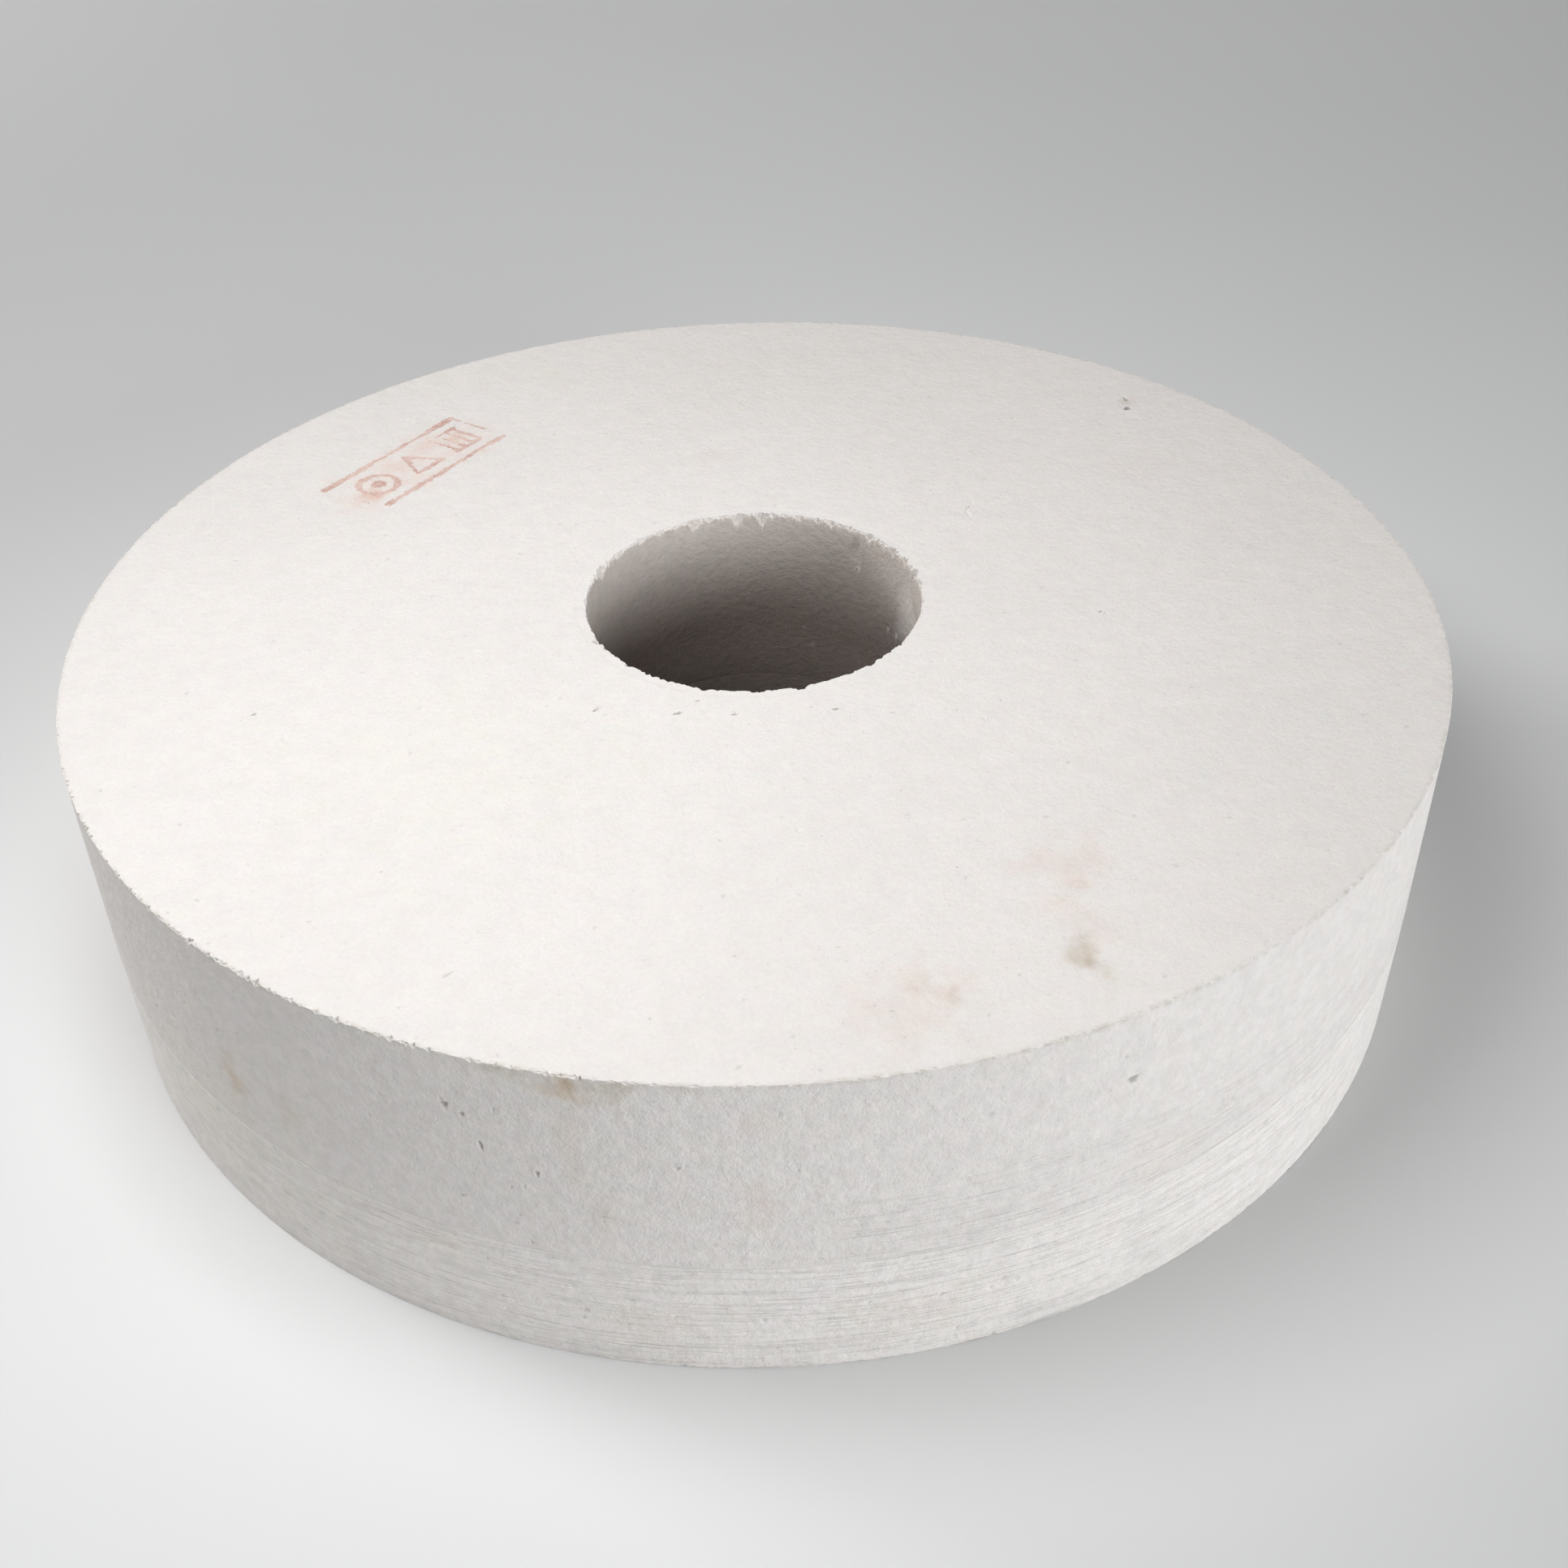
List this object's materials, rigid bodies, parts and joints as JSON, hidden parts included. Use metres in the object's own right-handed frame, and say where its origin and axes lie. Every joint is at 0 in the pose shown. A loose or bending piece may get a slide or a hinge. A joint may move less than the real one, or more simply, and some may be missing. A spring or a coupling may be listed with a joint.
{
  "type": "grinding wheel",
  "caption": "Thick straight grinding wheel: a white ceramic ring in two cemented layers, with a through bore and a flat face for gluing to a plate.",
  "frame": {"origin": "centre of the working face, which the wheel lies on", "axes": "+Z along the bore axis, from the working face to the glue face; X and Y are free because the ring is round"},
  "size_m": [0.3, 0.3, 0.075],
  "materials": {
    "backing_ceramic": "matt, fine-grained, porous, lightly stained",
    "abrasive_ceramic": "matt, porous, with fine turned lines",
    "cement": "matt pale grey cement",
    "ink": "worn brick-red marking ink soaked into the pores"
  },
  "bodies": {
    "root": {"backing_ring": "backing_ceramic", "bond_line": "cement", "abrasive_ring": "abrasive_ceramic"}
  },
  "joints": []
}
